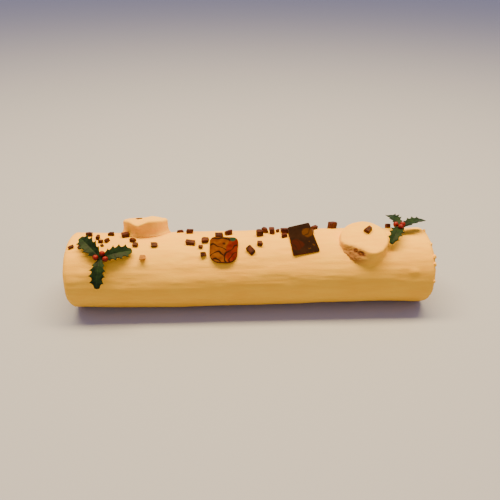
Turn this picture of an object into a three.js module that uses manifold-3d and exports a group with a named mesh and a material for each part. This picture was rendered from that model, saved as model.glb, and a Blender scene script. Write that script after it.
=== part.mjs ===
// A white yule log cake: a cream-coated roll that lies on its flattened underside, with two
// cut-branch stumps, two plastic holly sprigs, two chocolate plaques and strewn chocolate
// chunks. Millimetres. The log lies along X, its front faces -Y and +Z is up; the origin is
// the middle of the flat underside.
import * as THREE from "three";
import { mergeVertices } from "three/addons/utils/BufferGeometryUtils.js";
import Module from "manifold-3d";

const wasm = await Module();
wasm.setup();

// ---------------------------------------------------------------- driving dimensions
const GAP = 0.3; // left between two pieces that touch
const LOG = {
  length: 346,
  width: 77,
  height: 67,
  axisHeight: 31, // level of the widest part of the section
  belly: 34, // half-height of the lower half before the underside is flattened
  edgeRound: 6, // rounding where the side turns into an end
  endDome: 1.5, // how far the middle of an end bulges out
  unevenness: 1, // height of the slow swells left by the spreading knife
  swell: 300, // length of one swell along the crest
  thickEnd: 1.2, // how much more cream there is on the crest at the right-hand end
};
// lean and cant: the axis's angles from the vertical, positive to the front and to +X. shift:
// how far the axis passes behind the log's own. rise: the face's height above the crest.
// foot: width of the cream fillet at the bottom. tuck: how far the front of the foot is pulled
// in under the rim. slant: how far the face dips to the back. Each lip is a place on the rim,
// in degrees from +X on the face, where the coating stands out and sags down, or with a
// negative out or drop is torn away or heaped up.
const STUMPS = {
  stump_left: {
    along: -101.5, lean: -21.5, cant: 0, shift: 7.5, radius: 21.2, rise: 12.5, foot: 2.2,
    tuck: 5.5, slant: 1.1, rimWave: 0.25,
    lips: [
      { at: -101, spread: 20, out: 1.8, drop: 4.2 },
      { at: -103, spread: 46, out: 0, drop: -1.5 },
      { at: 79, spread: 15, out: 0.3, drop: -1.2 },
    ],
  },
  stump_right: {
    along: 108.9, lean: 14.6, cant: -5.6, shift: -2, radius: 21.8, rise: 8, foot: 2,
    tuck: 0, slant: 0, rimWave: 0.3,
    lips: [
      { at: -138, spread: 22, out: -5.6, drop: 0.6 },
      { at: -105, spread: 20, out: -5.4, drop: 0.6 },
    ],
  },
};
const STUMP_RIM = { rounding: 2.2, dome: 0.7, waveDepth: 8, tuckDepth: 14 };
// Chunks on the stump faces: along the log and up the slope from the middle of the face, the
// chunk's length and how far it is pushed in.
const FACE_CHUNKS = {
  stump_left: [-5.5, -3, 5.5, 2.2],
  stump_right: [5.1, 7.5, 6.5, 0.4],
};
const PLAQUE = { thickness: 2.4, bevel: 0.5 };
const LEAF = {
  length: 27.5,
  halfWidth: 8.4,
  thickness: 0.9,
  spikes: 4, // on each side, before the one at the tip
  hollow: 0.36, // share of the width lost between two spikes
  sweep: 1.5, // how far the spikes point forward
  fold: 1.3, // rise of the edges from the midrib
  arch: 2,
};
const HUB = { radius: 3.6, thickness: 1.6, stalkRadius: 1.3, stalkLength: 12 };
const BERRY = { radius: 2.5, level: 3.2 };
// round: place on the log in degrees from the top, positive to the front. tilt: slope of the
// hub's plane. Each leaf has its direction in that plane, how far its tip droops, the twist
// about its own length in degrees, and its size as a share of the largest. Each berry has its
// distance from the middle of the hub and its direction.
const SPRIGS = {
  holly_left: {
    along: -136, round: 37, tilt: 35, lift: 3.2,
    leaves: [[15, 2, 0, 0.96], [135, 3, 0, 1], [265, 6, 0, 0.92]],
    berries: [[3.8, 62], [3.8, 187], [5.4, 338]],
  },
  holly_right: {
    along: 142.2, round: 0, tilt: 0, lift: 8,
    leaves: [[22, -1, -10, 0.95], [101, 1, 0, 0.82], [236, 6, -6, 0.8]],
    berries: [[5, 168], [2.2, 34], [3.7, 248]],
  },
};
// Chocolate chunks in plain sight, by kind: along the log, degrees round from the top, length,
// turn.
const CHUNKS = {
  plain: [
    [-157.6, 18, 3, 80], [-152.4, -9, 5.8, 10], [-139.5, 7, 4, 0], [-137.2, 15, 3, 20],
    [-134.2, 5, 4.4, 65], [-132.5, -12, 5.3, 0], [-118.5, -7, 6.3, 15], [-109.8, 5, 4.8, -20],
    [-107.1, 14, 4.7, -5], [-58.2, -19, 6.4, 0], [-42.8, 7, 6.7, 0], [-47, 19, 3.9, -20],
    [-44.2, 32, 4.8, 15], [-30.1, -1, 7.5, 0], [-20.9, -11, 6.7, 20], [7.8, 17, 5.1, 0],
    [32.8, -9, 6.8, 0], [31.4, 3, 5, 10], [63, -20, 5.8, 30],
  ],
  tall: [
    [-142.9, -1, 3.9, 80], [-99.1, 36, 5.6, 0], [8.2, -2, 6.3, 10], [14.2, -13, 5.3, -30],
    [20.7, -8, 6.2, 80], [26.3, -12, 3.2, 60], [81.5, -27, 7, 30], [137.5, -31, 4.6, 20],
  ],
  thin: [[-165.2, 18, 5, 28]],
  flat: [
    [-89.6, 15, 6.1, 0], [-67.9, -24, 6.1, 0], [-56.6, 11, 7.8, -5], [-1.2, 28, 8, -50],
  ],
};
// Width and height of each kind, as shares of the length.
const CHUNK_KINDS = { plain: [0.7, 0.8], tall: [0.75, 1.15], thin: [0.42, 0.5], flat: [0.6, 0.55] };
const CHUNK = { jitter: 0.13, sunk: 0.2 }; // shares of the length and of the height
// Chunks that prop up the raised edge of the right-hand plaque.
const PROPS = [[42, -2, 6.2, 30], [56.5, -4, 7, -20]];
// Chunks strewn over the back, at even steps along the log with a seeded stray.
const BACK_CHUNKS = { count: 12, from: -150, step: 27, stray: 1.3, high: -56, low: -86 };
// Crumbs of coating on the rim of the right-hand end: degrees round and radius.
const RIM_CRUMBS = [[-38, 1.3], [-12, 1.5], [20, 1.3], [41, 1.9], [52, 1.5], [78, 1.4]];
const LOG_RINGS = 24;
const LOG_SIDES = 40;
const STUMP_SIDES = 36;

// ---------------------------------------------------------------- small tools
const radians = THREE.MathUtils.degToRad;

// A repeatable draw between 0 and 1 for a pair of whole numbers.
function draw(index, which) {
  const swing = Math.sin(index * 12.9898 + which * 78.233) * 43758.5453;
  return swing - Math.floor(swing);
}

// A closed geometry as a solid that can be joined and cut.
function solidOf(geometry) {
  const bare = new THREE.BufferGeometry();
  const source = geometry.index ? geometry.toNonIndexed() : geometry;
  bare.setAttribute("position", source.getAttribute("position"));
  const merged = mergeVertices(bare, 1e-3);
  const index = merged.index.array;
  const kept = [];
  for (let i = 0; i < index.length; i += 3) {
    const [a, b, c] = [index[i], index[i + 1], index[i + 2]];
    if (a !== b && b !== c && c !== a) kept.push(a, b, c);
  }
  return new wasm.Manifold(new wasm.Mesh({
    numProp: 3,
    vertProperties: merged.attributes.position.array,
    triVerts: new Uint32Array(kept),
  }));
}

// The solid's mesh, named and coloured.
function pieceOf(name, solid, finish) {
  const { vertProperties, triVerts } = solid.getMesh();
  const geometry = new THREE.BufferGeometry();
  geometry.setAttribute("position", new THREE.BufferAttribute(new Float32Array(vertProperties), 3));
  geometry.setIndex(new THREE.BufferAttribute(new Uint32Array(triVerts), 1));
  geometry.computeVertexNormals();
  const mesh = new THREE.Mesh(geometry, finish);
  mesh.name = name;
  return mesh;
}

// Moves every vertex of a geometry to where the function puts it.
function reshape(geometry, move) {
  const position = geometry.getAttribute("position");
  const point = new THREE.Vector3();
  for (let i = 0; i < position.count; i++) {
    point.fromBufferAttribute(position, i);
    move(point);
    position.setXYZ(i, point.x, point.y, point.z);
  }
  return geometry;
}

// A sheet as a solid of even thickness, both faces split into triangles alike. place maps
// (u from 0 at the base to 1 at the tip, v from -1 to 1 across) to a point.
function slab(columns, rows, thickness, place) {
  const sheet = new THREE.PlaneGeometry(2, 1, columns, rows);
  const position = sheet.getAttribute("position");
  const count = position.count;
  const points = new Float32Array(count * 6);
  for (let i = 0; i < count; i++) {
    const at = place(position.getY(i) + 0.5, position.getX(i));
    points.set([at.x, at.y, at.z + thickness / 2], i * 3);
    points.set([at.x, at.y, at.z - thickness / 2], (count + i) * 3);
  }
  const faces = [];
  const index = sheet.index.array;
  for (let i = 0; i < index.length; i += 3) {
    faces.push(index[i], index[i + 1], index[i + 2]);
    faces.push(count + index[i], count + index[i + 2], count + index[i + 1]);
  }
  const at = (row, column) => row * (columns + 1) + column;
  const rim = [];
  for (let c = 0; c < columns; c++) rim.push(at(rows, c));
  for (let r = rows; r > 0; r--) rim.push(at(r, columns));
  for (let c = columns; c > 0; c--) rim.push(at(0, c));
  for (let r = 0; r < rows; r++) rim.push(at(r, 0));
  rim.forEach((here, i) => {
    const next = rim[(i + 1) % rim.length];
    faces.push(here, count + here, count + next, here, count + next, next);
  });
  const solid = new THREE.BufferGeometry();
  solid.setAttribute("position", new THREE.BufferAttribute(points, 3));
  solid.setIndex(faces);
  return solid;
}

// ---------------------------------------------------------------- the log
// Point of the plain section at an angle from the top, positive to the front, measured from
// the log's axis, and the way out there.
function sectionAt(angle, grow = 0) {
  const halfWidth = LOG.width / 2 + grow;
  const halfHeight = (Math.cos(angle) > 0 ? LOG.height - LOG.axisHeight : LOG.belly) + grow;
  const point = new THREE.Vector2(-halfWidth * Math.sin(angle), halfHeight * Math.cos(angle));
  const out = new THREE.Vector2(-halfHeight * Math.sin(angle), halfWidth * Math.cos(angle));
  return { point, out: out.normalize() };
}

// How far the coating stands proud of the plain section.
function knifeWave(along, angle) {
  const swell = Math.sin((2 * Math.PI * along) / LOG.swell) * Math.cos(angle);
  const hollow = Math.sin(along / 31 + 1.3 * Math.sin(angle)) * Math.cos(2 * angle + along / 77);
  const stroke = Math.sin(6 * angle + along / 53);
  const crest = Math.max(Math.cos(angle), 0);
  const thick = LOG.thickEnd * crest * THREE.MathUtils.smoothstep(along, 105, 150);
  return LOG.unevenness * (swell + 0.4 * hollow + 0.25 * stroke) + thick;
}

// The roll's outline from its middle to one end's centre, as [share of the section, along].
function endOutline(half) {
  const steps = 4;
  const share = LOG.edgeRound / (LOG.width / 2);
  const straight = half - LOG.endDome - LOG.edgeRound;
  const outline = [];
  for (let i = 0; i < steps; i++) {
    const turn = (i / steps) * (Math.PI / 2);
    outline.push([
      1 - share * (1 - Math.cos(turn)),
      straight + LOG.edgeRound * Math.sin(turn),
    ]);
  }
  outline.push([1 - share, half - LOG.endDome]);
  outline.push([0.5, half - LOG.endDome * 0.25]);
  outline.push([0, half]);
  return { straight, outline };
}

// A roll with rounded edges and slightly domed ends, cut flat underneath.
function logSolid(grow = 0) {
  const { straight, outline } = endOutline(LOG.length / 2 + grow);
  const profile = [];
  for (const [share, along] of outline.toReversed())
    profile.push(new THREE.Vector2(share, -along));
  for (let i = 1; i < LOG_RINGS; i++)
    profile.push(new THREE.Vector2(1, straight * ((2 * i) / LOG_RINGS - 1)));
  for (const [share, along] of outline)
    profile.push(new THREE.Vector2(share, along));
  const roll = new THREE.LatheGeometry(profile, LOG_SIDES);
  return solidOf(reshape(roll, (p) => {
    const share = Math.hypot(p.x, p.z);
    const angle = share < 1e-6 ? 0 : Math.atan2(p.x, p.z);
    const along = p.y;
    const { point, out } = sectionAt(angle, grow);
    const proud = knifeWave(along, angle) * share;
    const level = LOG.axisHeight + point.y * share + out.y * proud;
    p.set(along, point.x * share + out.x * proud, Math.max(level, -grow));
  }));
}

// Sets a geometry made on +Z down on the log, its +Z along the way out, lift above the
// coating.
function ontoLog(geometry, along, round, lift = 0) {
  const angle = radians(round);
  const { point, out } = sectionAt(angle);
  const proud = knifeWave(along, angle) + lift;
  geometry.rotateX(Math.atan2(-out.x, out.y));
  geometry.translate(along, point.x + out.x * proud, LOG.axisHeight + point.y + out.y * proud);
  return geometry;
}

// ---------------------------------------------------------------- chunks and crumbs
// A rough little block that stands on z = 0, its foot sunk below that.
function chunkBlock(seed, length, turn, kind = "plain") {
  const [width, height] = CHUNK_KINDS[kind].map((share) => share * length);
  const stray = (which) => (draw(seed, which) - 0.5) * 2 * CHUNK.jitter * length;
  const block = reshape(new THREE.BoxGeometry(length, width, height), (p) => {
    const corner = 3 * ((p.x > 0 ? 1 : 0) + (p.y > 0 ? 2 : 0) + (p.z > 0 ? 4 : 0));
    p.x += stray(corner);
    p.y += stray(corner + 1);
    p.z += stray(corner + 2) * 0.5;
  });
  block.rotateX((draw(seed, 41) - 0.5) * 0.4);
  block.rotateZ(radians(turn));
  block.translate(0, 0, height * (0.5 - CHUNK.sunk));
  return block;
}

// Every chunk on the log, with the strewn ones behind the crest.
function chunkPlaces() {
  const { count, from, step, stray, high, low } = BACK_CHUNKS;
  const places = [];
  for (const [kind, chunks] of Object.entries(CHUNKS))
    places.push(...chunks.map((chunk) => [...chunk, kind]));
  places.push(...PROPS);
  for (let i = 0; i < count; i++) {
    const along = from + step * (i + stray * (draw(i, 50) - 0.5));
    const round = high + (low - high) * draw(i, 51);
    places.push([along, round, 4.6 + 2.2 * draw(i, 52), 180 * draw(i, 53)]);
  }
  return places.filter(([along, round, length]) => clearOfStumps(along, round, length));
}

// Whether most of a chunk on the log is outside the stumps' feet.
function clearOfStumps(along, round, length) {
  const { point } = sectionAt(radians(round));
  return Object.values(STUMPS).every((stump) => {
    const spot = new THREE.Vector3(along, point.x, LOG.axisHeight + point.y);
    spot.applyMatrix4(stumpPlace(stump).invert());
    return Math.hypot(spot.x, spot.y - tuckAt(stump, spot)) > stump.radius + length * 0.3;
  });
}

function rimCrumbs() {
  const along = LOG.length / 2 - LOG.edgeRound * 0.6;
  return RIM_CRUMBS.map(([round, radius]) => {
    const crumb = new THREE.IcosahedronGeometry(radius, 0);
    return solidOf(ontoLog(crumb, along, round, -LOG.edgeRound * 0.2));
  });
}

// ---------------------------------------------------------------- stumps
// Where a stump stands: from its own frame, round +Z with the log's axis at z = 0.
function stumpPlace({ along, lean, cant, shift }) {
  const place = new THREE.Matrix4().makeTranslation(along, 0, LOG.axisHeight);
  place.multiply(new THREE.Matrix4().makeRotationX(radians(lean)));
  place.multiply(new THREE.Matrix4().makeTranslation(0, shift, 0));
  return place.multiply(new THREE.Matrix4().makeRotationY(radians(cant)));
}

// Outline of a stump from its sunk foot up to the middle of its face.
function stumpProfile(radius, top) {
  const { rounding, dome } = STUMP_RIM;
  const start = 10;
  const steps = 9;
  const shoulder = top - rounding;
  const profile = [new THREE.Vector2(0, start)];
  for (let i = 0; i <= steps; i++)
    profile.push(new THREE.Vector2(radius, start + ((shoulder - start) * i) / steps));
  for (let i = 1; i <= 3; i++) {
    const turn = (i / 3) * (Math.PI / 2);
    profile.push(new THREE.Vector2(
      radius - rounding * (1 - Math.cos(turn)),
      shoulder + rounding * Math.sin(turn),
    ));
  }
  profile.push(new THREE.Vector2(radius * 0.5, top + dome * 0.75));
  profile.push(new THREE.Vector2(0, top + dome));
  return profile;
}

// Height of a point above the log's plain surface.
function aboveLog({ y, z }) {
  const up = z - LOG.axisHeight;
  const { point } = sectionAt(Math.atan2(-y, up));
  return Math.hypot(y, up) - point.length();
}

// How far the front of a stump's foot is pulled in at a place on its wall.
function tuckAt({ rise, tuck }, { x, y, z }) {
  const shoulder = LOG.height - LOG.axisHeight + rise - STUMP_RIM.rounding;
  const low = THREE.MathUtils.clamp((shoulder - z) / STUMP_RIM.tuckDepth, 0, 1);
  return tuck * low * Math.max(-y / Math.hypot(x, y), 0);
}

// A short branch with a softened, wavy rim, lips or tears in it, and a fillet at its foot. grow
// fattens it.
function stumpSolid(stump, grow = 0) {
  const { rise, foot, slant, rimWave, lips, along } = stump;
  const radius = stump.radius + grow;
  const place = stumpPlace(stump);
  const top = LOG.height - LOG.axisHeight + rise;
  const body = new THREE.LatheGeometry(stumpProfile(radius, top), STUMP_SIDES);
  body.rotateX(Math.PI / 2);
  reshape(body, (p) => {
    const reach = Math.hypot(p.x, p.y) / radius;
    if (reach < 0.01) return;
    const around = Math.atan2(p.y, p.x);
    const nearTop = THREE.MathUtils.smoothstep(p.z, top - STUMP_RIM.waveDepth, top) * reach;
    const wave = Math.sin(3 * around + along) * 0.6 + Math.sin(5 * around + 2) * 0.4;
    const height = Math.max(aboveLog(p.clone().applyMatrix4(place)), 0);
    const pulled = tuckAt(stump, p) * reach;
    let out = rimWave * 0.5 * Math.sin(2 * around + along) + foot * Math.exp(-height / 2) * reach;
    let rising = (rimWave * wave - slant * Math.sin(around)) * nearTop;
    for (const lip of lips) {
      const off = Math.cos(around - radians(lip.at)) - 1;
      const sag = Math.exp(off / (1 - Math.cos(radians(lip.spread)))) * nearTop;
      out += lip.out * sag;
      rising -= lip.drop * sag * reach;
    }
    p.z += rising;
    p.x *= 1 + out / radius;
    p.y = p.y * (1 + out / radius) + pulled;
  });
  return solidOf(body.applyMatrix4(place));
}

// A chunk that sits on a stump's face.
function faceChunk(name) {
  const stump = STUMPS[name];
  const [side, up, length, pushed] = FACE_CHUNKS[name];
  const level = LOG.height - LOG.axisHeight + stump.rise + STUMP_RIM.dome * 0.5 - pushed;
  const chunk = chunkBlock(90, length, 35);
  chunk.translate(side, up, level);
  return solidOf(chunk.applyMatrix4(stumpPlace(stump)));
}

// ---------------------------------------------------------------- chocolate plaques
// A flat plaque set on the log: tilt is the slope of its plane, turn its turn in that plane
// and lift the height of its underside's middle above the plain section. grow fattens it.
function plaqueSolid({ outline, along, round, tilt, turn, lift }, grow = 0) {
  const body = new THREE.ExtrudeGeometry(outline, {
    depth: PLAQUE.thickness - 2 * PLAQUE.bevel + 2 * grow,
    bevelThickness: PLAQUE.bevel,
    bevelSize: PLAQUE.bevel,
    bevelOffset: grow - PLAQUE.bevel,
    bevelSegments: 1,
    curveSegments: 5,
  });
  body.translate(0, 0, PLAQUE.bevel - grow);
  body.rotateZ(radians(turn));
  body.rotateX(radians(tilt));
  const { point, out } = sectionAt(radians(round));
  body.translate(along, point.x + out.x * lift, LOG.axisHeight + point.y + out.y * lift);
  return solidOf(body);
}

// A four-cornered outline, head wide at the top and foot wide at the bottom, with rounded
// corners, the right-hand one at the top raised by slope.
function plaqueOutline({ foot, head, height, slope, corners }) {
  const [f, h, t] = [foot / 2, head / 2, height / 2];
  const spots = [[-f, -t], [f, -t], [h, t + slope], [-h, t]].map((s) => new THREE.Vector2(...s));
  const shape = new THREE.Shape();
  spots.forEach((spot, i) => {
    const before = spots[(i + 3) % 4];
    const after = spots[(i + 1) % 4];
    const corner = corners[i < 2 ? 0 : 1];
    const from = spot.clone().lerp(before, corner / spot.distanceTo(before));
    const to = spot.clone().lerp(after, corner / spot.distanceTo(after));
    if (i === 0) shape.moveTo(from.x, from.y);
    else shape.lineTo(from.x, from.y);
    shape.quadraticCurveTo(spot.x, spot.y, to.x, to.y);
  });
  shape.closePath();
  return shape;
}

// corners: the rounding of the two at the bottom and of the two at the top.
const PLAQUES = {
  plaque_left: {
    outline: plaqueOutline({ foot: 25, head: 26.5, height: 26.5, slope: 0, corners: [9, 5] }),
    along: -25.6, round: 25.7, tilt: 28, turn: -3, lift: -0.6,
  },
  plaque_right: {
    outline: plaqueOutline({ foot: 25.5, head: 21.8, height: 31, slope: 1.9, corners: [1.6, 1.6] }),
    along: 48, round: 11.2, tilt: 24, turn: 9.5, lift: 1,
  },
};

// ---------------------------------------------------------------- holly
// How close a place along the leaf is to a spike: 1 on it, 0 half way between two.
function spikeShare(u) {
  return 1 - Math.abs(Math.sin(Math.PI * (LEAF.spikes + 1) * u)) ** 0.8;
}

// Half-width of a leaf: a pointed oval with hollows scooped between the spikes.
function leafEdge(u) {
  const oval = Math.max(Math.sin(Math.PI * u ** 1.05), 0) ** 0.42;
  const stem = u < 0.5 ? 0.9 : 0.35;
  const scooped = 1 - LEAF.hollow * (1 - spikeShare(u));
  return Math.max(LEAF.halfWidth * oval * scooped, stem);
}

// One leaf along +X from the hub: folded along its midrib, arched and drooping.
function leafBlade(droop, twist, size) {
  const rows = (LEAF.spikes + 1) * 3;
  const leaf = slab(4, rows, LEAF.thickness, (u, v) => {
    const spike = spikeShare(u) * v * v * Math.min(1, 5 * u, 5 * (1 - u));
    const arch = LEAF.arch * Math.sin(Math.PI * u) - droop * u * u;
    const fold = LEAF.fold * Math.abs(v) * Math.sin(Math.PI * u) + 0.7 * spike;
    const along = size * (LEAF.length * u + LEAF.sweep * spike);
    return new THREE.Vector3(along, -size * leafEdge(u) * v, arch + fold);
  });
  leaf.rotateX(radians(twist));
  leaf.translate(HUB.radius * 0.5, 0, 0);
  return leaf;
}

// Moves a geometry made on a sprig's own plane to the sprig's place on the log.
function ontoSprig(geometry, { along, round, tilt, lift }) {
  const { point, out } = sectionAt(radians(round));
  geometry.rotateX(radians(tilt));
  geometry.translate(along, point.x + out.x * lift, LOG.axisHeight + point.y + out.y * lift);
  return geometry;
}

function berrySolid(sprig, [out, direction], radius) {
  const turn = radians(direction);
  const ball = new THREE.SphereGeometry(radius, 12, 8);
  ball.rotateX(Math.PI / 2);
  ball.translate(out * Math.cos(turn), out * Math.sin(turn), BERRY.level);
  return solidOf(ontoSprig(ball, sprig));
}

// The three leaves, the hub that joins them and the stalk that is pushed into the cream.
function sprigSolid(sprig) {
  const hub = new THREE.CylinderGeometry(HUB.radius, HUB.radius, HUB.thickness, 16);
  hub.rotateX(Math.PI / 2);
  const stalk = new THREE.CylinderGeometry(
    HUB.stalkRadius, HUB.stalkRadius * 0.7, HUB.stalkLength, 8,
  );
  stalk.rotateX(Math.PI / 2);
  stalk.translate(0, 0, -HUB.stalkLength / 2);
  let solid = solidOf(ontoSprig(hub, sprig)).add(solidOf(ontoSprig(stalk, sprig)));
  for (const [direction, droop, twist, size] of sprig.leaves) {
    const leaf = leafBlade(droop, twist, size);
    leaf.rotateZ(radians(direction));
    solid = solid.add(solidOf(ontoSprig(leaf, sprig)));
  }
  return solid;
}

// ---------------------------------------------------------------- materials
function finish(colour, roughness) {
  return new THREE.MeshStandardMaterial({ color: colour, roughness, metalness: 0 });
}
const CREAM = finish(0xf4d9a4, 0.5);
const MARBLED = finish(0xc9771d, 0.3);
const DARK_CHOCOLATE = finish(0x3a1d10, 0.3);
const LEAF_GREEN = finish(0x1f4d24, 0.35);
const BERRY_RED = finish(0xb3261c, 0.25);

// ---------------------------------------------------------------- assembly
const cake = new THREE.Group();
const grownLog = logSolid(GAP);

// The chunks are trimmed where a plaque leans on them and where a stump stands in them.
const neighbours = [
  ...Object.values(PLAQUES).map((plaque) => plaqueSolid(plaque, GAP)),
  ...Object.values(STUMPS).map((stump) => stumpSolid(stump, GAP)),
];
let log = logSolid();
chunkPlaces().forEach(([along, round, length, turn, kind], i) => {
  let chunk = solidOf(ontoLog(chunkBlock(i, length, turn, kind), along, round));
  for (const neighbour of neighbours) chunk = chunk.subtract(neighbour);
  log = log.add(chunk);
});
for (const crumb of rimCrumbs()) log = log.add(crumb);
cake.add(pieceOf("log", log, CREAM));

for (const [name, stump] of Object.entries(STUMPS)) {
  const solid = stumpSolid(stump).subtract(grownLog).add(faceChunk(name));
  cake.add(pieceOf(name, solid, CREAM));
}

for (const [name, plaque] of Object.entries(PLAQUES)) {
  const solid = plaqueSolid(plaque).subtract(grownLog);
  cake.add(pieceOf(name, solid, name === "plaque_left" ? MARBLED : DARK_CHOCOLATE));
}

for (const [name, sprig] of Object.entries(SPRIGS)) {
  let leaves = sprigSolid(sprig).subtract(grownLog);
  sprig.berries.forEach((berry, i) => {
    leaves = leaves.subtract(berrySolid(sprig, berry, BERRY.radius + GAP));
    cake.add(pieceOf(`${name}_berry_${i + 1}`, berrySolid(sprig, berry, BERRY.radius), BERRY_RED));
  });
  cake.add(pieceOf(name, leaves, LEAF_GREEN));
}

export default cake;
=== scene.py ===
from math import atan2, cos, exp, floor, hypot, pi, radians, sin

import bmesh
import bpy
from mathutils import Matrix, Vector, noise


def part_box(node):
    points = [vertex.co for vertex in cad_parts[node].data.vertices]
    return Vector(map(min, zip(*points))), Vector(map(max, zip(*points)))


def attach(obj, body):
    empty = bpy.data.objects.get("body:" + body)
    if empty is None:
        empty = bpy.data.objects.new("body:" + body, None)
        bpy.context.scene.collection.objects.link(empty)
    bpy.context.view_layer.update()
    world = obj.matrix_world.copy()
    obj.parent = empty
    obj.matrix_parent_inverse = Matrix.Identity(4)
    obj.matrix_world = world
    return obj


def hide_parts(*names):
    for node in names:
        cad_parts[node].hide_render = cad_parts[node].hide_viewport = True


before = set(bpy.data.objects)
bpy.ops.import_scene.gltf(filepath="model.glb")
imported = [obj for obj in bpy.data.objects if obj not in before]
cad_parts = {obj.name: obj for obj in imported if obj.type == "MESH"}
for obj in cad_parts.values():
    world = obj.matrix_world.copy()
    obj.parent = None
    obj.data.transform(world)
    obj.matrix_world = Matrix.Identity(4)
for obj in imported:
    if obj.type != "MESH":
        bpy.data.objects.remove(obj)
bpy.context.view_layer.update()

MM = 0.001

# ---------------------------------------------------------------- sizes and places
LOG = {
    "length": (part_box("log")[1].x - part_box("log")[0].x) / MM,
    "width": 77,
    "height": 67,
    "axis": 31,  # level of the widest part of the section
    "belly": 34,  # half-height of the lower half before the underside is flattened
    "edge": 6,  # rounding where the side turns into an end
    "dome": 1.5,  # how far the middle of an end bulges
    "uneven": 1,  # depth of the slow waves in the coating
    "swell": 300,  # length of the longest of them
    "thick_end": 1.2,  # how much more cream there is on the crest at the right-hand end
    "thick_from": (105, 150),  # where it starts along the log and where it is whole
    "end_uneven": 0.5,  # depth of the waves in the ends
    "ragged": 1.1,  # how far the rim of the right-hand end stands out in places
}
LOG_RINGS = 190
LOG_SIDES = 150
# Marks of the spreading knife: seed, depth, length along the log, how close they are round it.
LOG_MARKS = [(1, 0.4, 48, 4), (2, 0.2, 30, 11), (5, 0.09, 13, 26)]
RIDGE = {"height": 0.35, "width": 0.06}  # between two strokes; its width as a share of theirs

# lean and cant: the axis's angles from the vertical, positive to the front and to +X. shift: of
# the axis, to the back. rise: how far the face stands out past the log's crest. foot: how far the
# foot flares. tuck: how far its front is pulled in. slant: how far the face dips to the back.
# Each lip is a place on the rim, in degrees from +X on the face, where the coating sags or, with
# a negative out, is broken away.
STUMPS = {
    "stump_left": {
        "along": -101.5, "lean": -21.5, "cant": 0, "shift": 7.5, "radius": 21.2,
        "rise": 12.5, "foot": 2.2, "tuck": 5.5, "slant": 1.1, "rim_wave": 0.25, "torn": False,
        "lips": [
            {"at": -101, "spread": 20, "out": 1.8, "drop": 4.2},
            {"at": -103, "spread": 46, "out": 0, "drop": -1.5},
            {"at": 79, "spread": 15, "out": 0.3, "drop": -1.2},
        ],
    },
    "stump_right": {
        "along": 108.9, "lean": 14.6, "cant": -5.6, "shift": -2, "radius": 21.8,
        "rise": 8, "foot": 2, "tuck": 0, "slant": 0, "rim_wave": 0.3, "torn": True,
        "lips": [
            {"at": -138, "spread": 22, "out": -5.6, "drop": 0.6},
            {"at": -105, "spread": 20, "out": -5.4, "drop": 0.6},
        ],
    },
}
STUMP_RIM = {"rounding": 2.2, "dome": 0.7, "wave_depth": 8, "tuck_depth": 14}
STUMP_START = 10  # lowest level of a stump's own solid, above the log's axis
STUMP_SIDES = 150
STUMP_FLARE = 2  # height over which the flare of a foot dies out
STUMP_SUNK = 1.2  # how deep a stump's foot reaches into the cream
# Marks of the knife on a wall: seed, depth, how close they are round it, length up it. On a
# face: seed, depth, length to the side, length up the slope.
WALL_MARKS = [(11, 0.3, 3.2, 5), (12, 0.12, 9, 2.5)]
FACE_MARKS = [(13, 0.25, 7, 9), (14, 0.1, 2.2, 5), (15, 0.14, 16, 1.6)]
# Where the coating is torn, and where painted shade stains it: degrees on the rim, half-width in
# degrees, level below the face, half-height, and how much of it is gone.
# The last, widest one is mostly painted shade: a dark stain over the slumped rim under the face,
# where the rim lies in shadow.
TEARS_AND_PAINTED_SHADE = [(-128, 9, -2, 2, 1), (-109, 15, -3, 2.2, 1), (-132, 42, -6, 8, 0.6)]
TEAR_REACH = (0.6, 0.95)  # shares of the radius where tears start on a face and are whole
TEAR_DEPTH = {"wall": 0.06, "face": 0.5}  # as a share of the radius, and in millimetres
# Chunks on the faces: along the log and up the slope from the middle, length, pushed in.
FACE_CHUNKS = {
    "stump_left": (-5.5, -3, 5.5, 2.2),
    "stump_right": (5.1, 7.5, 6.5, 0.4),
}
FACE_CHUNK_SEED = 90
FACE_CHUNK_TURN = 35

# Chunks in plain sight, by kind: along, round, length, turn.
CHUNKS = {
    "plain": [
        (-157.6, 18, 3, 80), (-152.4, -9, 5.8, 10), (-139.5, 7, 4, 0), (-137.2, 15, 3, 20),
        (-134.2, 5, 4.4, 65), (-132.5, -12, 5.3, 0), (-118.5, -7, 6.3, 15),
        (-109.8, 5, 4.8, -20), (-107.1, 14, 4.7, -5), (-58.2, -19, 6.4, 0), (-42.8, 7, 6.7, 0),
        (-47, 19, 3.9, -20), (-44.2, 32, 4.8, 15), (-30.1, -1, 7.5, 0), (-20.9, -11, 6.7, 20),
        (7.8, 17, 5.1, 0), (32.8, -9, 6.8, 0), (31.4, 3, 5, 10), (63, -20, 5.8, 30),
    ],
    "tall": [
        (-142.9, -1, 3.9, 80), (-99.1, 36, 5.6, 0), (8.2, -2, 6.3, 10), (14.2, -13, 5.3, -30),
        (20.7, -8, 6.2, 80), (26.3, -12, 3.2, 60), (81.5, -27, 7, 30), (137.5, -31, 4.6, 20),
    ],
    "thin": [(-165.2, 18, 5, 28)],
    "flat": [(-89.6, 15, 6.1, 0), (-67.9, -24, 6.1, 0), (-56.6, 11, 7.8, -5), (-1.2, 28, 8, -50)],
}
TAN_CHUNKS = {-99.1}  # places along the log of the chunks of tan chocolate
# Width and height of each kind, as shares of the length.
CHUNK_KINDS = {"plain": (0.7, 0.8), "tall": (0.75, 1.15), "thin": (0.42, 0.5), "flat": (0.6, 0.55)}
# Shares of the length, and for sunk of the height.
CHUNK = {"jitter": 0.13, "chip": 0.13, "bevel": 0.05, "rough": 0.025, "sunk": 0.2}
# Chunks that carry the raised edge of the dark plaque, and the ones on the back, which stray
# from even steps along the log.
PROPS = [(42, -2, 6.2, 30), (56.5, -4, 7, -20)]
BACK_CHUNKS = {
    "count": 12, "from": -150, "step": 27, "stray": 1.3, "round": (-56, -86), "length": (4.6, 6.8),
}
FIT = 0.3  # the gap kept round what touches
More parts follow.
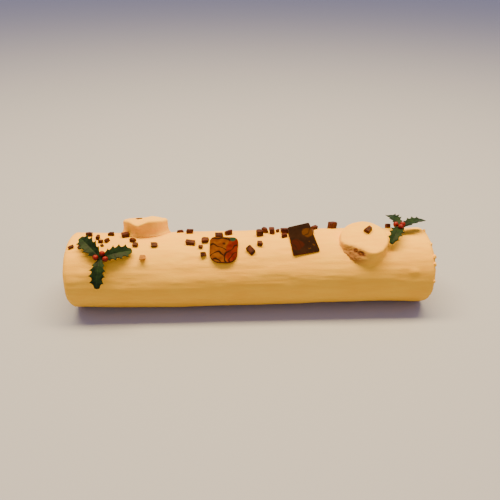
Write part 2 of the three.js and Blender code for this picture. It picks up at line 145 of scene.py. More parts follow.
# Low dabs of cream: along, round, half-length, half-width in degrees, height.
DABS = [(13, -1, 12, 4.5, 0.8), (150, 62, 5, 4, 0.9), (-60, 48, 14, 5, 0.5), (-150, 58, 8, 6, 0.5)]
RIM_CRUMBS = [(-38, 1.3), (-12, 1.5), (20, 1.3), (41, 1.9), (52, 1.5), (78, 1.4)]

# foot and head: the widths at the bottom and at the top. corners: the rounding of the two at
# the bottom and of the two at the top. slope: how much higher the right-hand one at the top is.
PLAQUE = {"thickness": 2.4, "bevel": 0.5}
PLAQUES = {
    "plaque_left": {
        "foot": 25, "head": 26.5, "height": 26.5, "slope": 0, "corners": (9, 5),
        "along": -25.6, "round": 25.7, "tilt": 28, "turn": -3, "lift": -0.6,
    },
    "plaque_right": {
        "foot": 25.5, "head": 21.8, "height": 31, "slope": 1.9, "corners": (1.6, 1.6),
        "along": 48, "round": 11.2, "tilt": 24, "turn": 9.5, "lift": 1,
    },
}

# hollow: how deep the edge is scooped between spikes, as a share of the half-width. sweep: how
# far the spikes lean to the tip.
LEAF = {
    "length": 27.5, "half_width": 8.4, "thickness": 0.7, "spikes": 4, "hollow": 0.36,
    "sweep": 1.5, "fold": 1.3, "arch": 2, "rows": 75, "columns": 16,
}
# Veins in relief: height and width. rake: how far before its spike a side vein leaves the
# midrib, as a share of the leaf's length.
MIDRIB = (0.3, 0.5)
SIDE_VEIN = (0.1, 0.42)
VEIN_RAKE = 0.12
HUB = {"radius": 3.6, "thickness": 1.6, "stalk_radius": 1.3, "stalk_length": 12}
# lift: height of the hub above the plain section. Each leaf: direction, droop of its tip,
# twist about its length, size.
SPRIGS = {
    "holly_left": {
        "along": -136, "round": 37, "tilt": 35, "lift": 3.2,
        "leaves": [(15, 2, 0, 0.96), (135, 3, 0, 1), (265, 6, 0, 0.92)],
    },
    "holly_right": {
        "along": 142.2, "round": 0, "tilt": 0, "lift": 8,
        "leaves": [(22, -1, -10, 0.95), (101, 1, 0, 0.82), (236, 6, -6, 0.8)],
    },
}
BERRIES = 3
DIMPLE = {"width": 0.2, "depth": 0.16}  # of a berry, as shares of its radius

# Place in millimetres; down, turned and roll in degrees.
CAMERA = {
    "at": (-18.6, -383.3, 310.8), "down": 34, "turned": 2.69, "roll": 0.65,
    "lens": 34.56,
}

# Lamps and floor, in metres and watts.
KEY_LAMP = {"at": (0, 0.27, 1.25), "watts": 64, "width": 1.6, "depth": 0.3}
FILL_LAMP = {"at": (-0.5, -1.2, 0.9), "watts": 1, "width": 1.2, "depth": 0.9}
SKY_STRENGTH = 0.6
FLOOR_HALF = 12

# ---------------------------------------------------------------- colours and gloss
# Linear red, green and blue.
WARM_LIGHT = (1, 0.73, 0.3)
SKY = (0.88, 0.8, 1)
FLOOR = (0.34, 0.36, 0.46)
CREAM_LIGHT = (0.95, 0.52, 0.04)
CREAM_DEEP = (0.91, 0.46, 0.03)
# Partly a sponge stain through thin cream, partly painted shade on the shadowed, slumped rim of the
# right-hand stump.
SPONGE_STAIN_AND_PAINTED_SHADE = (0.26, 0.1, 0.035)
SPONGE_LIGHT = (0.42, 0.17, 0.045)
SPONGE = (0.2, 0.065, 0.016)
SPONGE_DARK = (0.06, 0.018, 0.006)
CHUNK_DARK = (0.03, 0.007, 0.0025)
CHUNK_LIGHT = (0.09, 0.02, 0.008)
CHUNK_BLOOM = (0.2, 0.075, 0.035)
TAN_DARK = (0.36, 0.13, 0.015)
TAN_LIGHT = (0.48, 0.2, 0.03)
TAN_BLOOM = (0.6, 0.32, 0.08)
LEAF_DARK = (0.004, 0.011, 0.004)
LEAF_GREEN = (0.012, 0.03, 0.009)
LEAF_VEIN = (0.03, 0.055, 0.02)
BERRY_RED = (0.21, 0.008, 0.003)
BERRY_DEEP = (0.14, 0.004, 0.002)
BERRY_TIP = (0.03, 0.006, 0.004)
AMBER = (0.11, 0.024, 0.001)
GOLD = (0.18, 0.055, 0.002)
FLAME = (0.09, 0.005, 0.001)
EMBER = (0.15, 0.014, 0.001)
GARNET = (0.035, 0.004, 0.001)
HONEY = (0.075, 0.024, 0.0015)
BROWN = (0.02, 0.006, 0.002)
UMBER = (0.012, 0.0035, 0.0015)
MOSS = (0.012, 0.04, 0.02)

# How strongly each finish mirrors, as the shader's specular level.
SHINE = {"cream": 0.03, "print": 0.02, "chocolate": 0.12, "leaf": 0.08, "berry": 0.2}
PRINT_EDGE = 0.03  # width over which two printed colours meet, as a share of a plaque's height


# ---------------------------------------------------------------- small tools
def draw(index, which):
    """A repeatable draw between 0 and 1 for a pair of whole numbers."""
    swing = sin(index * 12.9898 + which * 78.233) * 43758.5453
    return swing - floor(swing)


def draw_between(ends, index, which):
    return ends[0] + (ends[1] - ends[0]) * draw(index, which)


def smooth_step(value, low, high):
    share = min(max((value - low) / (high - low), 0), 1)
    return share * share * (3 - 2 * share)


def ripple(seed, x, y, z=0):
    """Smooth noise from -1 to 1 at a place, another one for each seed."""
    return noise.noise(Vector((x, y, z + seed * 7.31)))


def turned(matrix, geometry, bm):
    bmesh.ops.transform(bm, matrix=matrix, verts=geometry)


def joined(target, source):
    """Adds one finished bmesh to another."""
    mesh = bpy.data.meshes.new("joined")
    source.to_mesh(mesh)
    source.free()
    target.from_mesh(mesh)
    bpy.data.meshes.remove(mesh)


def piece_of(name, bm, materials, replaced=()):
    """Makes a finished bmesh, in millimetres, a piece that rides on the cake."""
    bmesh.ops.recalc_face_normals(bm, faces=bm.faces)
    bmesh.ops.transform(bm, matrix=Matrix.Scale(MM, 4), verts=bm.verts)
    mesh = bpy.data.meshes.new(name)
    bm.to_mesh(mesh)
    bm.free()
    for material in materials:
        mesh.materials.append(material)
    piece = bpy.data.objects.new(name, mesh)
    bpy.context.scene.collection.objects.link(piece)
    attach(piece, "root")
    if replaced:
        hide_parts(*replaced)


def smooth(bm):
    for face in bm.faces:
        face.smooth = True


def spun(profile, sides):
    """A closed skin spun round Z from (radius, height) points that start and end on it."""
    bm = bmesh.new()
    verts = [bm.verts.new((radius, 0, height)) for radius, height in profile]
    edges = [bm.edges.new(pair) for pair in zip(verts, verts[1:])]
    bmesh.ops.spin(
        bm, geom=verts + edges, cent=(0, 0, 0), axis=(0, 0, 1), angle=2 * pi,
        steps=sides, use_merge=True,
    )
    bmesh.ops.remove_doubles(bm, verts=bm.verts, dist=1e-3)
    return bm


# ---------------------------------------------------------------- the log's surface
def section_at(angle):
    """Point of the plain section from the log's axis, and the way out there, as (y, z)."""
    half_width = LOG["width"] / 2
    half_height = LOG["height"] - LOG["axis"] if cos(angle) > 0 else LOG["belly"]
    point = Vector((-half_width * sin(angle), half_height * cos(angle)))
    out = Vector((-half_height * sin(angle), half_width * cos(angle)))
    return point, out.normalized()


def knife_wave(along, angle):
    """How far the coating stands proud of the plain section, in slow waves."""
    swell = sin(2 * pi * along / LOG["swell"]) * cos(angle)
    hollow = sin(along / 31 + 1.3 * sin(angle)) * cos(2 * angle + along / 77)
    stroke = sin(6 * angle + along / 53)
    thick = LOG["thick_end"] * max(cos(angle), 0) * smooth_step(along, *LOG["thick_from"])
    return LOG["uneven"] * (swell + 0.4 * hollow + 0.25 * stroke) + thick


def strokes(along, angle):
    """The finer marks of the spreading knife: long soft bands and the ridges between."""
    marks = sum(
        depth * ripple(seed, along / length, angle * close)
        for seed, depth, length, close in LOG_MARKS
    )
    ridge = ripple(3, along / 80 + 0.4 * angle, angle * 5)
    lifted = RIDGE["height"] * exp(-((ridge / RIDGE["width"]) ** 2))
    for spot, degrees, length, width, height in DABS:
        far = ((along - spot) / length) ** 2 + ((angle - radians(degrees)) / radians(width)) ** 2
        lifted += height * exp(-(far**2))
    return marks + lifted


def log_place(along, degrees, lift=0):
    """Sets what stands on z = 0 down on the coating, lift above it."""
    angle = radians(degrees)
    point, out = section_at(angle)
    proud = knife_wave(along, angle) + lift
    spot = (along, point.x + out.x * proud, LOG["axis"] + point.y + out.y * proud)
    return Matrix.Translation(spot) @ Matrix.Rotation(atan2(-out.x, out.y), 4, "X")


def above_log(spot):
    """Height of a point above the plain section."""
    up = spot.z - LOG["axis"]
    point, _ = section_at(atan2(-spot.y, up))
    return hypot(spot.y, up) - point.length


def log_profile():
    """(share of the section, place along) from the centre of one end to the other's."""
    half = LOG["length"] / 2
    share = LOG["edge"] / (LOG["width"] / 2)
    straight = half - LOG["dome"] - LOG["edge"]
    steps, caps = 8, 12
    end = []
    for i in range(steps + 1):
        turn = i / steps * pi / 2
        end.append((1 - share * (1 - cos(turn)), straight + LOG["edge"] * sin(turn)))
    for i in range(1, caps + 1):
        inward = 1 - i / caps
        end.append(((1 - share) * inward, half - LOG["dome"] * inward**2))
    sides = [(1, straight * (2 * i / LOG_RINGS - 1)) for i in range(1, LOG_RINGS)]
    return [(reach, -along) for reach, along in reversed(end)] + sides + end


def log_skin():
    """The coated roll, with its waves and strokes, flattened where it lies."""
    bm = spun(log_profile(), LOG_SIDES)
    straight = LOG["length"] / 2 - LOG["dome"] - LOG["edge"]
    for vert in bm.verts:
        share = hypot(vert.co.x, vert.co.y)
        angle = atan2(vert.co.y, vert.co.x) if share > 1e-6 else 0
        along = vert.co.z
        point, out = section_at(angle)
        proud = (knife_wave(along, angle) + strokes(along, angle)) * share
        y, z = point * share + out * proud
        near_end = smooth_step(abs(along), straight, straight + LOG["edge"])
        along += LOG["end_uneven"] * ripple(4, y / 16, z / 11) * near_end
        if along > straight:
            ragged = LOG["ragged"] * max(ripple(6, angle * 9, along / 4) + 0.1, 0)
            ragged *= near_end * share**4
            along, y, z = along + ragged * 0.5, y + out.x * ragged, z + out.y * ragged
        vert.co = (along, y, max(LOG["axis"] + z, 0))
    smooth(bm)
    return bm


def crumb_lumps():
    """Lumps of coating on the rim of the right-hand end."""
    bm = bmesh.new()
    along = LOG["length"] / 2 - LOG["edge"] * 0.6
    for number, (degrees, radius) in enumerate(RIM_CRUMBS):
        lump = bmesh.ops.create_icosphere(bm, subdivisions=3, radius=radius)["verts"]
        for vert in lump:
            vert.co *= 1 + 0.45 * noise.noise(vert.co * 0.8 + Vector((number * 5, 0, 0)))
            vert.co.y *= 1.25
        turned(log_place(along, degrees, -LOG["edge"] * 0.2), lump, bm)
    smooth(bm)
    return bm


# ---------------------------------------------------------------- stumps
def stump_place(stump):
    """From a stump's own frame, round +Z with the log's axis at z = 0, to the cake."""
    place = Matrix.Translation((stump["along"], 0, LOG["axis"]))
    place @= Matrix.Rotation(radians(stump["lean"]), 4, "X")
    place @= Matrix.Translation((0, stump["shift"], 0))
    return place @ Matrix.Rotation(radians(stump["cant"]), 4, "Y")


def stump_top(stump):
    """Level of a stump's face above the log's axis."""
    return LOG["height"] - LOG["axis"] + stump["rise"]


def foot_level(place, x, y):
    """Level on a stump's axis where a point beside it lies just under the coating."""
    low, high = STUMP_START, 3 * STUMP_START + LOG["height"] / 2
    for _ in range(24):
        middle = (low + high) / 2
        if above_log(place @ Vector((x, y, middle))) < -STUMP_SUNK:
            low = middle
        else:
            high = middle
    return low


def stump_profile(radius, top):
    """(radius, height) from the middle of the hidden foot to the middle of the face."""
    rounding, dome = STUMP_RIM["rounding"], STUMP_RIM["dome"]
    caps, rises, turns, rings = 5, 34, 7, 14
    shoulder = top - rounding
    profile = [(radius * i / caps, STUMP_START) for i in range(caps + 1)]
    for i in range(1, rises + 1):
        profile.append((radius, STUMP_START + (shoulder - STUMP_START) * i / rises))
    for i in range(1, turns + 1):
        turn = i / turns * pi / 2
        profile.append((
            radius - rounding * (1 - cos(turn)),
            shoulder + rounding * sin(turn),
        ))
    flat = radius - rounding
    for i in range(1, rings + 1):
        inward = 1 - i / rings
        profile.append((flat * inward, top + dome * (1 - inward**2)))
    return profile


def tuck_at(stump, x, y, z):
    """How far the front of a stump's foot is pulled in at a place on its wall."""
    shoulder = stump_top(stump) - STUMP_RIM["rounding"]
    low = min(max((shoulder - z) / STUMP_RIM["tuck_depth"], 0), 1)
    return stump["tuck"] * low * max(-y / max(hypot(x, y), 1e-6), 0)


def torn_share(stump, around, level):
    """1 where the coating is torn off the rim, 0 where it is whole, and up to 0.6 where painted
    shade stains the slumped rim.
    """
    share = 0
    for at, width, middle, depth, gone in TEARS_AND_PAINTED_SHADE if stump["torn"] else []:
        off = around - radians(at)
        away = (atan2(sin(off), cos(off)) / radians(width)) ** 2 + ((level - middle) / depth) ** 2
        share = max(share, gone * exp(-(away**1.5)))
    return share


def lip_pull(stump, around, near_top):
    """How far the lips bring the rim out, and how far they let it sag."""
    out = drop = 0
    for lip in stump["lips"]:
        off = cos(around - radians(lip["at"])) - 1
        sag = exp(off / (1 - cos(radians(lip["spread"])))) * near_top
        out += lip["out"] * sag
        drop += lip["drop"] * sag
    return out, drop


def wall_swell(stump, around, z, height):
    """How far the wall stands out: flared at the log, and uneven."""
    out = stump["foot"] * exp(-height / STUMP_FLARE)
    for seed, depth, close, tall in WALL_MARKS:
        out += depth * ripple(seed, cos(around) * close, sin(around) * close, z / tall)
    return out


def face_relief(x, y):
    """The marks that the knife left on a face."""
    return sum(depth * ripple(seed, x / wide, y / long) for seed, depth, wide, long in FACE_MARKS)


def stump_skin(stump):
    """A short coated branch; also writes how far each point is torn open to the sponge, and where
    painted shade stains its rim.
    """
    radius = stump["radius"]
    place = stump_place(stump)
    top = stump_top(stump)
    shoulder = top - STUMP_RIM["rounding"]
    bm = spun(stump_profile(radius, top), STUMP_SIDES)
    torn_layer = bm.verts.layers.float.new("torn")
    for vert in bm.verts:
        x, y, z = vert.co
        reach = hypot(x, y) / radius
        if z < shoulder + 1e-6:
            foot = foot_level(place, x, y + tuck_at(stump, x, y, STUMP_START) * reach)
            z = foot + (z - STUMP_START) / (shoulder - STUMP_START) * (shoulder - foot)
        pulled = tuck_at(stump, x, y, z) * reach
        around = atan2(y, x)
        near_top = smooth_step(z, top - STUMP_RIM["wave_depth"], top) * reach
        height = max(above_log(place @ Vector((x, y, z))), 0)
        lip_out, lip_drop = lip_pull(stump, around, near_top)
        out = stump["rim_wave"] * 0.5 * sin(2 * around + stump["along"]) + lip_out
        out += wall_swell(stump, around, z, height) * reach
        wave = sin(3 * around + stump["along"]) * 0.6 + sin(5 * around + 2) * 0.4
        rising = (stump["rim_wave"] * wave * reach**2 - stump["slant"] * sin(around)) * near_top
        rising += face_relief(x, y) - lip_drop * reach
        # Share of tear here; over the wide slumped rim it is mostly painted shade.
        torn = torn_share(stump, around, z - top) * smooth_step(reach, *TEAR_REACH)
        vert[torn_layer] = torn
        crumb = torn * (0.5 + noise.noise(Vector((x, y, z)) * 0.7))
        side = (1 + out / radius) * (1 - TEAR_DEPTH["wall"] * crumb)
        vert.co = (x * side, y * side + pulled, z + rising - TEAR_DEPTH["face"] * crumb)
    turned(place, bm.verts, bm)
    smooth(bm)
    return bm


# ---------------------------------------------------------------- chocolate chunks
def clear_of_stumps(along, degrees, length):
    """Whether a chunk at a place on the log misses both stumps."""
    point, _ = section_at(radians(degrees))
    spot = Vector((along, point.x, LOG["axis"] + point.y))
    for stump in STUMPS.values():
        own = stump_place(stump).inverted() @ spot
        if hypot(own.x, own.y - tuck_at(stump, *own)) <= stump["radius"] + length * 0.3:
            return False
    return True


def chunk_places():
    """Every chunk on the log: kind, along, round, length, turn."""
    places = [(kind, *chunk) for kind, chunks in CHUNKS.items() for chunk in chunks]
    places += [("plain", *chunk) for chunk in PROPS]
    for i in range(BACK_CHUNKS["count"]):
        steps = i + BACK_CHUNKS["stray"] * (draw(i, 50) - 0.5)
        along = BACK_CHUNKS["from"] + BACK_CHUNKS["step"] * steps
        degrees = draw_between(BACK_CHUNKS["round"], i, 51)
        length = draw_between(BACK_CHUNKS["length"], i, 52)
        places.append(("plain", along, degrees, length, 180 * draw(i, 53)))
    return [place for place in places if clear_of_stumps(*place[1:4])]


def chunk_block(seed, length, turn, kind="plain"):
    """A broken block of chocolate that stands on z = 0, its foot sunk below that."""
    bm = bmesh.new()
    width, height = (share * length for share in CHUNK_KINDS[kind])
    size = Vector((length, width, height))
    for vert in bmesh.ops.create_cube(bm, size=1)["verts"]:
        corner = 3 * ((vert.co.x > 0) + 2 * (vert.co.y > 0) + 4 * (vert.co.z > 0))
        stray = [(draw(seed, corner + i) - 0.5) * 2 * CHUNK["jitter"] * length for i in range(3)]
        vert.co = vert.co * size + Vector((stray[0], stray[1], stray[2] * 0.5))
    chip_corners(bm, seed, length)
    bmesh.ops.bevel(
        bm, geom=list(bm.edges), offset=CHUNK["bevel"] * length, segments=2, profile=0.5,
        affect="EDGES", material=-1, clamp_overlap=True,
    )
    bmesh.ops.triangulate(bm, faces=bm.faces)
    bmesh.ops.subdivide_edges(
        bm, edges=[e for e in bm.edges if e.calc_length() > 0.25 * length], cuts=2,
        use_grid_fill=True,
    )
    for vert in bm.verts:
        rough = noise.noise(vert.co * 0.8 + Vector((seed * 9.1, 0, 0)))
        vert.co += vert.normal * CHUNK["rough"] * length * rough
    place = Matrix.Translation((0, 0, height * (0.5 - CHUNK["sunk"])))
    place @= Matrix.Rotation(radians(turn), 4, "Z")
    place @= Matrix.Rotation((draw(seed, 41) - 0.5) * 0.4, 4, "X")
    turned(place, bm.verts, bm)
    return bm


def chip_corners(bm, seed, length):
    """Breaks two corners off a block with slanting cuts."""
    for cut in range(2):
        way = Vector([draw(seed, 60 + 3 * cut + i) - 0.5 for i in range(3)])
        way.z = abs(way.z)
        way.normalize()
        reach = max(vert.co.dot(way) for vert in bm.verts)
        cut_off(bm, way * (reach - CHUNK["chip"] * length), way)


def cut_off(bm, spot, way):
    """Cuts a closed solid by a plane, drops what lies beyond it and closes the cut."""
    made = bmesh.ops.bisect_plane(
        bm, geom=list(bm.verts) + list(bm.edges) + list(bm.faces), plane_co=spot,
        plane_no=way, clear_outer=True,
    )
    rim = [item for item in made["geom_cut"] if isinstance(item, bmesh.types.BMEdge)]
    if rim:
        bmesh.ops.edgeloop_fill(bm, edges=rim)


def trim_under_plaques(bm):
    """Cuts a placed chunk where a plaque lies on it."""
    middle = sum((vert.co for vert in bm.verts), Vector()) / len(bm.verts)
    reach = max((vert.co - middle).length for vert in bm.verts)
    for plaque in PLAQUES.values():
        place = plaque_place(plaque)
        own = place.inverted() @ middle
        if abs(own.x) > plaque["foot"] / 2 + reach or abs(own.y) > plaque["height"] / 2 + reach:
            continue
        corners = [place.inverted() @ vert.co for vert in bm.verts]
        over = [c for c in corners if c.z > 0 and within(plaque, c, FIT)]
        if over:
            way = (place.to_3x3() @ Vector((0, 0, 1))).normalized()
            cut_off(bm, place @ Vector((0, 0, -FIT)), way)


def within(plaque, spot, margin):
    """Whether a spot in a plaque's own frame lies over it or that close to its edge."""
    share = spot.y / plaque["height"] + 0.5
    half = (plaque["foot"] + (plaque["head"] - plaque["foot"]) * share) / 2
    return abs(spot.x) < half + margin and abs(spot.y) < plaque["height"] / 2 + margin


def all_chunks():
    """The dark chunks and the tan ones, each as one bmesh."""
    dark, tan = bmesh.new(), bmesh.new()
    for seed, (kind, along, degrees, length, turn) in enumerate(chunk_places()):
        chunk = chunk_block(seed, length, turn, kind)
        turned(log_place(along, degrees), chunk.verts, chunk)
        trim_under_plaques(chunk)
        joined(tan if along in TAN_CHUNKS else dark, chunk)
    for name, (side, up, length, pushed) in FACE_CHUNKS.items():
        stump = STUMPS[name]
        level = stump_top(stump) + STUMP_RIM["dome"] * 0.5 - pushed
        chunk = chunk_block(FACE_CHUNK_SEED, length, FACE_CHUNK_TURN)
        place = stump_place(stump) @ Matrix.Translation((side, up, level))
        turned(place, chunk.verts, chunk)
        joined(dark, chunk)
    return dark, tan


# ---------------------------------------------------------------- chocolate plaques
def plaque_place(plaque):
    """From a plaque's own frame, its underside on z = 0, to the cake."""
    point, out = section_at(radians(plaque["round"]))
    lift = plaque["lift"]
    spot = (plaque["along"], point.x + out.x * lift, LOG["axis"] + point.y + out.y * lift)
    place = Matrix.Translation(spot) @ Matrix.Rotation(radians(plaque["tilt"]), 4, "X")
    return place @ Matrix.Rotation(radians(plaque["turn"]), 4, "Z")


def plaque_plate(plaque):
    """A cast plate with rounded corners and edges, its printed face in material 0."""
    bm = bmesh.new()
    foot, head, half = plaque["foot"] / 2, plaque["head"] / 2, plaque["height"] / 2
    spots = [(-foot, -half), (foot, -half), (head, half + plaque["slope"]), (-head, half)]
    bm.faces.new([bm.verts.new((x, y, 0)) for x, y in spots])
    pairs = [[v for v in bm.verts if v.co.y < 0], [v for v in bm.verts if v.co.y > 0]]
    for pair, corner in zip(pairs, plaque["corners"]):
        bmesh.ops.bevel(
            bm, geom=pair, offset=corner, segments=8, profile=0.5, affect="VERTICES",
            material=-1,
        )
    lower = list(bm.faces)
    raised = bmesh.ops.extrude_face_region(bm, geom=lower, use_keep_orig=True)["geom"]
    top = [item for item in raised if isinstance(item, bmesh.types.BMFace)]
    bmesh.ops.translate(
        bm, vec=(0, 0, PLAQUE["thickness"]),
        verts=[item for item in raised if isinstance(item, bmesh.types.BMVert)],
    )
    rims = list({edge for face in lower + top for edge in face.edges})
    bmesh.ops.bevel(
        bm, geom=rims, offset=PLAQUE["bevel"], segments=4, profile=0.5, affect="EDGES",
        material=-1, clamp_overlap=True,
    )
    bmesh.ops.recalc_face_normals(bm, faces=bm.faces)
    uv = bm.loops.layers.uv.new("print")
    for face in bm.faces:
        face.material_index = 0 if face.normal.z > 0.9 else 1
        face.smooth = abs(face.normal.z) < 0.99
        for loop in face.loops:
            spot = loop.vert.co
            loop[uv].uv = (spot.x / plaque["height"] + 0.5, spot.y / plaque["height"] + 0.5)
    turned(plaque_place(plaque), bm.verts, bm)
    return bm


# ---------------------------------------------------------------- holly
def spike_share(u):
    """How close a place along a leaf is to a spike: 1 on it, 0 half way between two."""
    return 1 - abs(sin(pi * (LEAF["spikes"] + 1) * u)) ** 0.8


def leaf_edge(u):
    """Half-width of a leaf: a pointed oval with hollows scooped between its spikes."""
    oval = max(sin(pi * u**1.05), 0) ** 0.42
    stem = 0.9 if u < 0.5 else 0.2
    scooped = 1 - LEAF["hollow"] * (1 - spike_share(u))
    return max(LEAF["half_width"] * oval * scooped, stem)


def vein_relief(u, v):
    """Ridges of the midrib and of the side veins, which run out to the spikes."""
    midrib = exp(-((v * LEAF["half_width"] / MIDRIB[1]) ** 2))
    side = 0
    for spike in range(1, LEAF["spikes"] + 1):
        root = spike / (LEAF["spikes"] + 1) - VEIN_RAKE
        line = u - root - VEIN_RAKE * abs(v)
        side = max(side, exp(-((line * LEAF["length"] / SIDE_VEIN[1]) ** 2)))
    return MIDRIB[0] * midrib + SIDE_VEIN[0] * side * (1 - abs(v)) ** 0.3


def leaf_blade(droop, twist, size):
    """One leaf along +X from the hub: folded along its midrib, arched and drooping."""
    bm = bmesh.new()
    bmesh.ops.create_grid(bm, x_segments=LEAF["rows"], y_segments=LEAF["columns"], size=1)
    veins = bm.verts.layers.float.new("vein")
    for vert in bm.verts:
        u, v = (vert.co.x + 1) / 2, vert.co.y
        spike = spike_share(u) * v * v * min(1, 5 * u, 5 * (1 - u))
        arch = LEAF["arch"] * sin(pi * u) - droop * u * u
        fold = LEAF["fold"] * abs(v) * sin(pi * u) + 0.7 * spike
        relief = vein_relief(u, v)
        vert[veins] = min(relief / MIDRIB[0], 1)
        along = size * (LEAF["length"] * u + LEAF["sweep"] * spike)
        vert.co = (along, -size * leaf_edge(u) * v, arch + fold - relief)
    bmesh.ops.recalc_face_normals(bm, faces=bm.faces)
    bmesh.ops.solidify(bm, geom=list(bm.faces), thickness=LEAF["thickness"])
    place = Matrix.Translation((HUB["radius"] * 0.5, 0, LEAF["thickness"] / 2))
    turned(place @ Matrix.Rotation(radians(twist), 4, "X"), bm.verts, bm)
    smooth(bm)
    return bm


def sprig_place(sprig):
    """From a sprig's own frame, the middle of its hub at the origin, to the cake."""
    point, out = section_at(radians(sprig["round"]))
    lift = sprig["lift"]
    spot = (sprig["along"], point.x + out.x * lift, LOG["axis"] + point.y + out.y * lift)
    return Matrix.Translation(spot) @ Matrix.Rotation(radians(sprig["tilt"]), 4, "X")


def sprig_leaves(sprig):
    """The leaves of a sprig, the hub that joins them and its stalk."""
    bm = bmesh.new()
    bmesh.ops.create_cone(
        bm, cap_ends=True, segments=32, radius1=HUB["radius"], radius2=HUB["radius"] * 0.9,
        depth=HUB["thickness"],
    )
    bmesh.ops.bevel(
        bm, geom=list(bm.edges), offset=0.3, segments=2, profile=0.5, affect="EDGES",
        material=-1, clamp_overlap=True,
    )
    stalk = bmesh.ops.create_cone(
        bm, cap_ends=True, segments=20, radius1=HUB["stalk_radius"] * 0.7,
        radius2=HUB["stalk_radius"], depth=HUB["stalk_length"],
    )["verts"]
    bmesh.ops.translate(bm, verts=stalk, vec=(0, 0, -HUB["stalk_length"] / 2))
    for direction, droop, twist, size in sprig["leaves"]:
        leaf = leaf_blade(droop, twist, size)
        turned(Matrix.Rotation(radians(direction), 4, "Z"), leaf.verts, leaf)
        joined(bm, leaf)
    turned(sprig_place(sprig), bm.verts, bm)
    return bm


def berry_ball(name, way):
    """A round berry with the little dark dimple of its blossom end."""
    low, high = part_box(name)
    radius = (high.x - low.x) / 2 / MM
    bm = bmesh.new()
    bmesh.ops.create_uvsphere(bm, u_segments=40, v_segments=28, radius=radius)
    tip = bm.verts.layers.float.new("tip")
    for vert in bm.verts:
        near = exp(-((hypot(vert.co.x, vert.co.y) / (DIMPLE["width"] * radius)) ** 2))
        top = near if vert.co.z > 0 else 0
        vert[tip] = top
        vert.co.z -= DIMPLE["depth"] * radius * top
        vert.co += vert.co * 0.012 * noise.noise(vert.co * 0.5)
    face_up = way.to_track_quat("Z", "Y").to_matrix().to_4x4()
    middle = (low + high) / 2 / MM
    turned(Matrix.Translation(middle) @ face_up, bm.verts, bm)
    smooth(bm)
    return bm


# ---------------------------------------------------------------- materials
def add(tree, kind, inputs=None, **settings):
    """Adds a shader node, sets it up and links or fills its inputs."""
    node = tree.nodes.new("ShaderNode" + kind)
    for name, value in settings.items():
        setattr(node, name, value)
    for name, value in (inputs or {}).items():
        if isinstance(value, bpy.types.NodeSocket):
            tree.links.new(value, node.inputs[name])
        else:
            node.inputs[name].default_value = value
    return node


def ramp(tree, factor, stops):
    """A colour ramp from (position, colour) stops."""
    node = add(tree, "ValToRGB", {"Fac": factor})
    elements = node.color_ramp.elements
    while len(elements) < len(stops):
        elements.new(0.5)
    for element, (position, colour) in zip(elements, stops):
        element.position = position
        element.color = (*colour, 1)
    return node.outputs["Color"]


def mixed(tree, factor, low, high):
    """Two colours mixed by a factor; 6 and 7 are the Mix node's colour sockets."""
    node = add(tree, "Mix", data_type="RGBA")
    for socket, value in ((0, factor), (6, low), (7, high)):
        if isinstance(value, bpy.types.NodeSocket):
            tree.links.new(value, node.inputs[socket])
        elif socket:
            node.inputs[socket].default_value = (*value, 1)
        else:
            node.inputs[socket].default_value = value
    return node.outputs[2]


def scaled(tree, value, by, plus=0.0):
    """A value times a number, and a number more."""
    node = add(tree, "Math", {0: value, 1: by, 2: plus}, operation="MULTIPLY_ADD")
    return node.outputs[0]


def new_group(name, inputs, outputs):
    """A shader node group with named sockets: name to socket kind."""
    tree = bpy.data.node_groups.new(name, "ShaderNodeTree")
    for socket, kind in inputs.items():
        tree.interface.new_socket(socket, in_out="INPUT", socket_type="NodeSocket" + kind)
    for socket, kind in outputs.items():
        tree.interface.new_socket(socket, in_out="OUTPUT", socket_type="NodeSocket" + kind)
    return tree, tree.nodes.new("NodeGroupInput"), tree.nodes.new("NodeGroupOutput")


def smoothed_cream_group():
    """Cream spread with a knife: long faint streaks of tone and a fine grain."""
    tree, given, result = new_group(
        "smoothed_cream",
        {"Vector": "Vector"},
        {"Color": "Color", "Roughness": "Float", "Height": "Float"},
    )
    place = given.outputs["Vector"]
    along = add(tree, "Mapping", {"Vector": place, "Scale": (9, 60, 60)}).outputs[0]
    streak = add(tree, "TexNoise", {"Vector": along, "Scale": 4, "Detail": 4, "Roughness": 0.6})
    cloud = add(tree, "TexNoise", {"Vector": place, "Scale": 24, "Detail": 3})
    grain = add(tree, "TexNoise", {"Vector": place, "Scale": 900, "Detail": 2})
    both = add(tree, "Math", {0: streak.outputs[0], 1: cloud.outputs[0]}, operation="ADD")
    tone = ramp(tree, scaled(tree, both.outputs[0], 0.5), [(0.4, CREAM_DEEP), (0.6, CREAM_LIGHT)])
    height = add(tree, "Math", {0: scaled(tree, streak.outputs[0], 3), 1: grain.outputs[0]})
    tree.links.new(tone, result.inputs["Color"])
    tree.links.new(scaled(tree, streak.outputs[0], 0.3, 0.38), result.inputs["Roughness"])
    tree.links.new(height.outputs[0], result.inputs["Height"])
    return tree


def chocolate_group():
    """Chocolate with a faint frosty bloom."""
    tree, given, result = new_group(
        "chocolate_bloom",
        {"Vector": "Vector", "Dark": "Color", "Light": "Color", "Bloom": "Color"},
        {"Color": "Color", "Roughness": "Float", "Height": "Float"},
    )
    place = given.outputs["Vector"]
    patch = add(tree, "TexNoise", {"Vector": place, "Scale": 190, "Detail": 3})
    frost = add(tree, "TexNoise", {"Vector": place, "Scale": 420, "Detail": 4, "Roughness": 0.7})
    fine = add(tree, "TexNoise", {"Vector": place, "Scale": 1600, "Detail": 2})
    span = add(tree, "MapRange", {"Value": patch.outputs[0], "From Min": 0.35, "From Max": 0.65})
    base = mixed(tree, span.outputs[0], given.outputs["Dark"], given.outputs["Light"])
    cover = add(tree, "MapRange", {
        "Value": frost.outputs[0], "From Min": 0.56, "From Max": 0.74, "To Max": 0.6,
    })
    colour = mixed(tree, cover.outputs[0], base, given.outputs["Bloom"])
    tree.links.new(colour, result.inputs["Color"])
    tree.links.new(scaled(tree, frost.outputs[0], 0.4, 0.32), result.inputs["Roughness"])
    tree.links.new(fine.outputs[0], result.inputs["Height"])
    return tree


